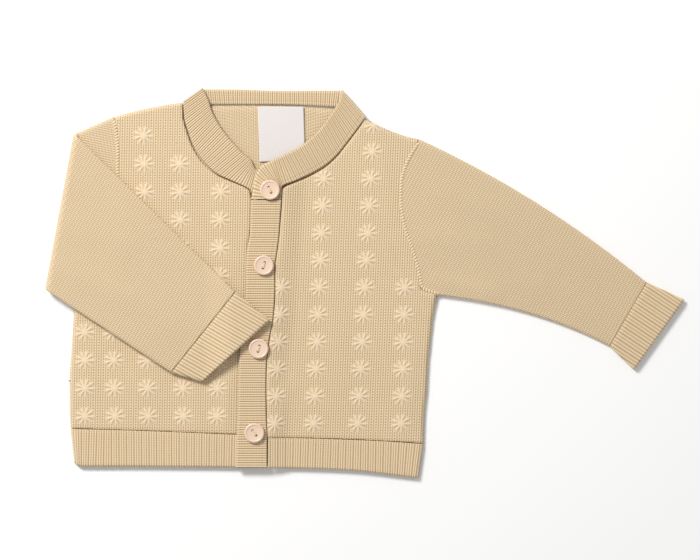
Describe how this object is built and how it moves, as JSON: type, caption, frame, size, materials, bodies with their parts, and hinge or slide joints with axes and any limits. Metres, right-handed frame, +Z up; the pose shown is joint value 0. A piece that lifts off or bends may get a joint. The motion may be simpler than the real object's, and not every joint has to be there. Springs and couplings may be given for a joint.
{
  "type": "baby cardigan",
  "caption": "Knitted baby cardigan laid flat on its back, buttoned at the front, with one sleeve stretched out and the other folded over the chest.",
  "frame": {"origin": "on the table, under the middle of the laid-out garment", "axes": "+X towards the wearer's left, +Y from hem to neck, +Z up from the table out of the front"},
  "size_m": [0.4078, 0.2494, 0.0108],
  "materials": {
    "knit": "fine plain knit in warm cream yarn, matt with a soft sheen",
    "rib": "ribbed knit in the same cream yarn",
    "button_shell": "polished shell effect, peach with pale nacre",
    "sewing_thread": "cream sewing thread",
    "label_satin": "woven satin, mauve grey with white ends, blank"
  },
  "bodies": {
    "root": {"back": "knit", "back_hem": "rib", "front_left": "knit", "front_left_hem": "rib", "front_right": "knit", "front_right_hem": "rib", "sleeve_left": "knit", "cuff_left": "rib", "sleeve_right": "knit", "cuff_right": "rib", "neckband_back": "rib", "neckband_left": "rib", "neckband_right": "rib", "button_band": "rib", "buttonhole_band": "rib", "neck_label": "label_satin", "button_1": "button_shell", "button_2": "button_shell", "button_3": "button_shell", "button_4": "button_shell", "thread_1": "sewing_thread", "thread_2": "sewing_thread", "thread_3": "sewing_thread", "thread_4": "sewing_thread"}
  },
  "joints": []
}
